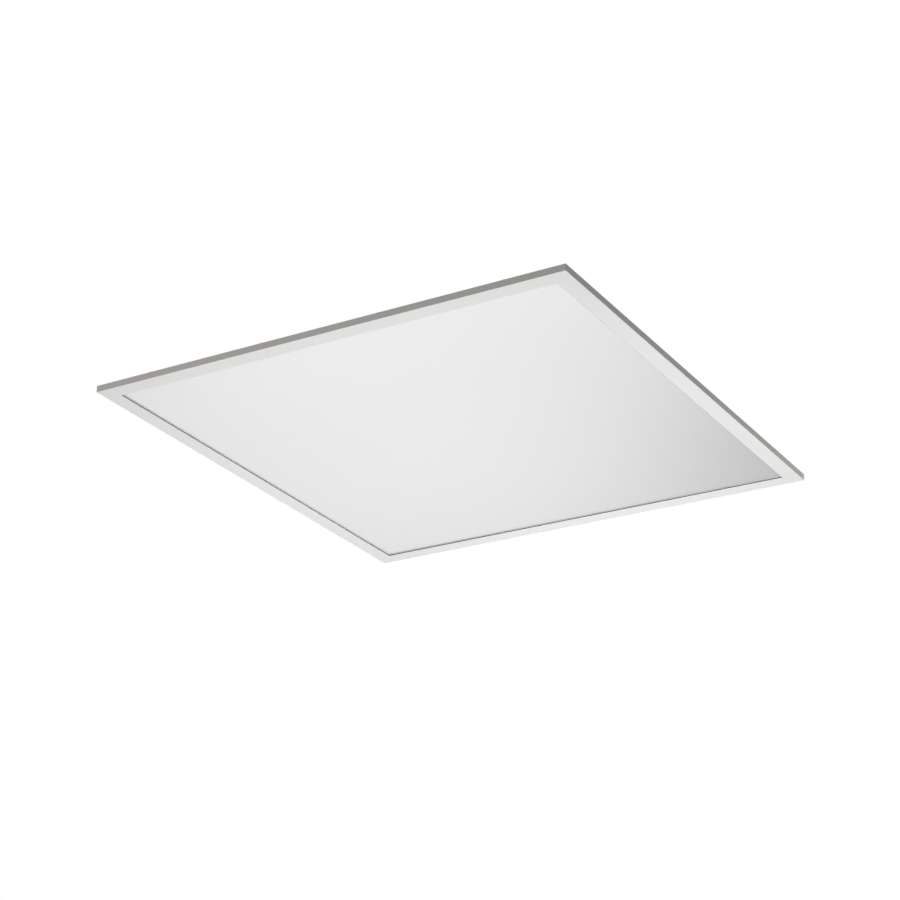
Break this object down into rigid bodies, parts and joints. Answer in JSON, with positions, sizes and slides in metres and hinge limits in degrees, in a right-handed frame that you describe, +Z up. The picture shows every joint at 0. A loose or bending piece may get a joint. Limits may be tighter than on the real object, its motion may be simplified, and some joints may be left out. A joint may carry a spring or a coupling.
{
  "type": "recessed troffer light",
  "caption": "Flat square edge-lit ceiling panel for a 600 mm grid, with a driver box, hinged lid, hanger brackets and swing-out grid clips on its back.",
  "frame": {"origin": "centre of the square, on the plane of the white face seen from the room", "axes": "+Z up into the ceiling void, out of the back; +X to the right and +Y to the rear, towards the driver tray"},
  "size_m": [0.595, 0.595, 0.043],
  "materials": {
    "back_white": "white coil-coated steel sheet",
    "block_grey": "moulded grey nylon",
    "bracket_zinc": "galvanised steel sheet",
    "capacitor_sleeve": "dark shrink sleeve",
    "choke_copper": "enamelled copper",
    "circuit_green": "green solder mask",
    "diffuser_opal": "opal sheet with a fine prismatic surface",
    "diode_yellow": "yellow phosphor in a white package",
    "driver_base_steel": "galvanised steel sheet",
    "driver_cover_white": "white paint on steel sheet",
    "earth_screw_zinc": "yellow zinc plate",
    "fastener_zinc": "bright zinc plate",
    "ferrite_dark": "dull ferrite",
    "foam_grey": "thin foam sheet",
    "frame_white": "smooth matt white powder coat on extruded aluminium",
    "grommet_black": "soft rubber",
    "key_steel": "plain steel",
    "knob_white": "moulded white plastic",
    "lead_black": "flexible sheath",
    "lead_red": "flexible sheath",
    "lever_orange": "moulded orange plastic",
    "light_board_white": "white solder mask",
    "light_guide_clear": "clear acrylic with a printed dot pattern",
    "lug_tin": "tinned copper",
    "reflector_white": "white reflector film",
    "rivet_aluminium": "dull aluminium",
    "selector_black": "moulded black plastic",
    "socket_white": "moulded nylon",
    "tape_dark": "thermal adhesive tape",
    "terminal_plastic": "moulded nylon",
    "tray_steel": "white powder-coated steel sheet",
    "winding_tape": "yellow insulating tape",
    "wire_blue": "blue sheath",
    "wire_brown": "brown sheath",
    "wire_green_yellow": "green sheath with a yellow stripe"
  },
  "bodies": {
    "light": {"back_plate": "back_white", "back_plate_screws": "fastener_zinc", "cable_entry_plate": "tray_steel", "clip_pivots": "fastener_zinc", "corner_key_screws": "fastener_zinc", "corner_keys": "key_steel", "diffuser": "diffuser_opal", "driver_capacitors": "capacitor_sleeve", "driver_case": "driver_base_steel", "driver_choke": "choke_copper", "driver_circuit_board": "circuit_green", "driver_cover": "driver_cover_white", "driver_input_terminal": "terminal_plastic", "driver_output_terminal": "terminal_plastic", "driver_screws": "fastener_zinc", "driver_transformer_core": "ferrite_dark", "driver_transformer_winding": "winding_tape", "driver_tray": "tray_steel", "earth_lug": "lug_tin", "earth_screw": "earth_screw_zinc", "earth_wire": "wire_green_yellow", "foam_pad": "foam_grey", "frame_rail_front": "frame_white", "frame_rail_left": "frame_white", "frame_rail_rear": "frame_white", "frame_rail_right": "frame_white", "hanger_bracket_front_left": "bracket_zinc", "hanger_bracket_front_right": "bracket_zinc", "hanger_bracket_rear_left": "bracket_zinc", "hanger_bracket_rear_right": "bracket_zinc", "hanger_rivets": "rivet_aluminium", "latch_bracket": "tray_steel", "lead_grommet": "grommet_black", "lid_hinge_pins": "fastener_zinc", "light_board_left": "light_board_white", "light_board_right": "light_board_white", "light_diodes_left": "diode_yellow", "light_diodes_right": "diode_yellow", "light_guide": "light_guide_clear", "light_link_lead": "lead_red", "light_sockets": "socket_white", "light_tapes": "tape_dark", "mains_wire_live": "wire_brown", "mains_wire_neutral": "wire_blue", "reflector_sheet": "reflector_white", "selector_body": "selector_black", "supply_lead_left": "lead_black", "supply_lead_right": "lead_red", "terminal_block": "block_grey", "tray_rivets": "rivet_aluminium"},
    "lid": {"driver_lid": "tray_steel"},
    "latch": {"lid_latch": "fastener_zinc"},
    "selector": {"selector_knob": "knob_white"},
    "clip_front_left": {"grid_clip_front_left": "bracket_zinc"},
    "clip_front_right": {"grid_clip_front_right": "bracket_zinc"},
    "clip_rear_right": {"grid_clip_rear_right": "bracket_zinc"},
    "clip_rear_left": {"grid_clip_rear_left": "bracket_zinc"},
    "lever_1": {"terminal_lever_1": "lever_orange"},
    "lever_2": {"terminal_lever_2": "lever_orange"},
    "lever_3": {"terminal_lever_3": "lever_orange"}
  },
  "joints": [
    {"name": "lid_hinge", "type": "hinge", "parent": "light", "child": "lid", "pos_m": [0, 0.1988, 0.0388], "axis": [1, 0, 0], "range_deg": [0, 110]},
    {"name": "latch_turn", "type": "hinge", "parent": "lid", "child": "latch", "pos_m": [0, 0.2696, 0.041], "axis": [0, 0, 1], "range_deg": [0, 90]},
    {"name": "selector_slide", "type": "slide", "parent": "light", "child": "selector", "axis": [1, 0, 0], "range_m": [0, 0.005]},
    {"name": "clip_swing_front_left", "type": "hinge", "parent": "light", "child": "clip_front_left", "pos_m": [-0.256, -0.17, 0.00835], "axis": [0, 0, 1], "range_deg": [0, 90]},
    {"name": "clip_swing_front_right", "type": "hinge", "parent": "light", "child": "clip_front_right", "pos_m": [0.256, -0.17, 0.00835], "axis": [0, 0, -1], "range_deg": [0, 90]},
    {"name": "clip_swing_rear_right", "type": "hinge", "parent": "light", "child": "clip_rear_right", "pos_m": [0.256, 0.17, 0.00835], "axis": [0, 0, 1], "range_deg": [0, 90]},
    {"name": "clip_swing_rear_left", "type": "hinge", "parent": "light", "child": "clip_rear_left", "pos_m": [-0.256, 0.17, 0.00835], "axis": [0, 0, -1], "range_deg": [0, 90]},
    {"name": "lever_lift_1", "type": "hinge", "parent": "light", "child": "lever_1", "pos_m": [0.0805, 0.221, 0.0217], "axis": [0, -1, 0], "range_deg": [0, 85]},
    {"name": "lever_lift_2", "type": "hinge", "parent": "light", "child": "lever_2", "pos_m": [0.0805, 0.229, 0.0217], "axis": [0, -1, 0], "range_deg": [0, 85]},
    {"name": "lever_lift_3", "type": "hinge", "parent": "light", "child": "lever_3", "pos_m": [0.0805, 0.237, 0.0217], "axis": [0, -1, 0], "range_deg": [0, 85]}
  ]
}
